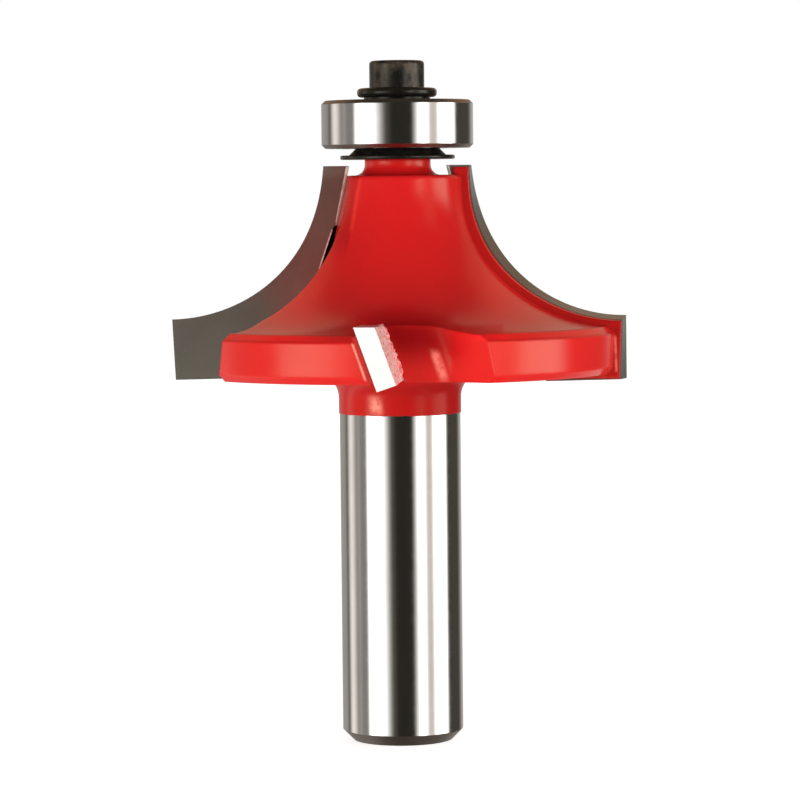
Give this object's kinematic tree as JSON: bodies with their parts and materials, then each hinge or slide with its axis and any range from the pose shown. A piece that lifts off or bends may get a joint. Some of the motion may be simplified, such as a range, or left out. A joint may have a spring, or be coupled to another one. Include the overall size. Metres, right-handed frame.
{
  "type": "rounding-over router bit",
  "caption": "Rounding-over router bit with a straight ground shank, a flared red cutter head with brazed carbide edges and shear tips, and a ball-bearing pilot held by a cap screw.",
  "frame": {"origin": "centre of the shank's end face", "axes": "+Z along the turning axis from the shank's end towards the pilot bearing, X through the two main blades"},
  "size_m": [0.0476, 0.0474, 0.0713],
  "materials": {
    "red_coating": "glossy red coating over steel, bare ground steel on the shank",
    "carbide": "finely ground tungsten carbide",
    "bearing_steel": "ground and polished bearing steel",
    "cage_steel": "pressed steel",
    "black_oxide": "glossy black oxide over steel",
    "black_screw": "satin black oxide over alloy steel"
  },
  "bodies": {
    "cutter": {"cutter_body": "red_coating", "main_blade_1": "carbide", "main_blade_2": "carbide", "shear_tip_1": "carbide", "shear_tip_2": "carbide", "lower_shield": "black_oxide", "bearing_inner_ring": "bearing_steel", "upper_collar": "black_oxide", "cap_screw": "black_screw"},
    "outer_race": {"bearing_outer_ring": "bearing_steel", "bearing_shield_lower": "bearing_steel", "bearing_shield_upper": "bearing_steel"},
    "cage": {"ball_cage": "cage_steel"},
    "rolling_ball_1": {"ball_1": "bearing_steel"},
    "rolling_ball_2": {"ball_2": "bearing_steel"},
    "rolling_ball_3": {"ball_3": "bearing_steel"},
    "rolling_ball_4": {"ball_4": "bearing_steel"},
    "rolling_ball_5": {"ball_5": "bearing_steel"},
    "rolling_ball_6": {"ball_6": "bearing_steel"},
    "rolling_ball_7": {"ball_7": "bearing_steel"},
    "rolling_ball_8": {"ball_8": "bearing_steel"}
  },
  "joints": [
    {"name": "pilot_spin", "type": "hinge", "parent": "cutter", "child": "outer_race", "pos_m": [0, 0, 0.06467], "axis": [0, 0, 1], "continuous": true},
    {"name": "cage_spin", "type": "hinge", "parent": "cutter", "child": "cage", "pos_m": [0, 0, 0.06467], "axis": [0, 0, 1], "continuous": true},
    {"name": "ball_1_spin", "type": "hinge", "parent": "cage", "child": "rolling_ball_1", "pos_m": [0.00555, 0, 0.06467], "axis": [0, 0, 1], "continuous": true},
    {"name": "ball_2_spin", "type": "hinge", "parent": "cage", "child": "rolling_ball_2", "pos_m": [0.00392, 0.00392, 0.06467], "axis": [0, 0, 1], "continuous": true},
    {"name": "ball_3_spin", "type": "hinge", "parent": "cage", "child": "rolling_ball_3", "pos_m": [0, 0.00555, 0.06467], "axis": [0, 0, 1], "continuous": true},
    {"name": "ball_4_spin", "type": "hinge", "parent": "cage", "child": "rolling_ball_4", "pos_m": [-0.00392, 0.00392, 0.06467], "axis": [0, 0, 1], "continuous": true},
    {"name": "ball_5_spin", "type": "hinge", "parent": "cage", "child": "rolling_ball_5", "pos_m": [-0.00555, 0, 0.06467], "axis": [0, 0, 1], "continuous": true},
    {"name": "ball_6_spin", "type": "hinge", "parent": "cage", "child": "rolling_ball_6", "pos_m": [-0.00392, -0.00392, 0.06467], "axis": [0, 0, 1], "continuous": true},
    {"name": "ball_7_spin", "type": "hinge", "parent": "cage", "child": "rolling_ball_7", "pos_m": [0, -0.00555, 0.06467], "axis": [0, 0, 1], "continuous": true},
    {"name": "ball_8_spin", "type": "hinge", "parent": "cage", "child": "rolling_ball_8", "pos_m": [0.00392, -0.00392, 0.06467], "axis": [0, 0, 1], "continuous": true}
  ],
  "couplings": [
    {"joint": "cage_spin", "follows": "pilot_spin", "ratio": 0.6073},
    {"joint": "ball_1_spin", "follows": "pilot_spin", "ratio": 2.2237},
    {"joint": "ball_2_spin", "follows": "pilot_spin", "ratio": 2.2237},
    {"joint": "ball_3_spin", "follows": "pilot_spin", "ratio": 2.2237},
    {"joint": "ball_4_spin", "follows": "pilot_spin", "ratio": 2.2237},
    {"joint": "ball_5_spin", "follows": "pilot_spin", "ratio": 2.2237},
    {"joint": "ball_6_spin", "follows": "pilot_spin", "ratio": 2.2237},
    {"joint": "ball_7_spin", "follows": "pilot_spin", "ratio": 2.2237},
    {"joint": "ball_8_spin", "follows": "pilot_spin", "ratio": 2.2237}
  ]
}
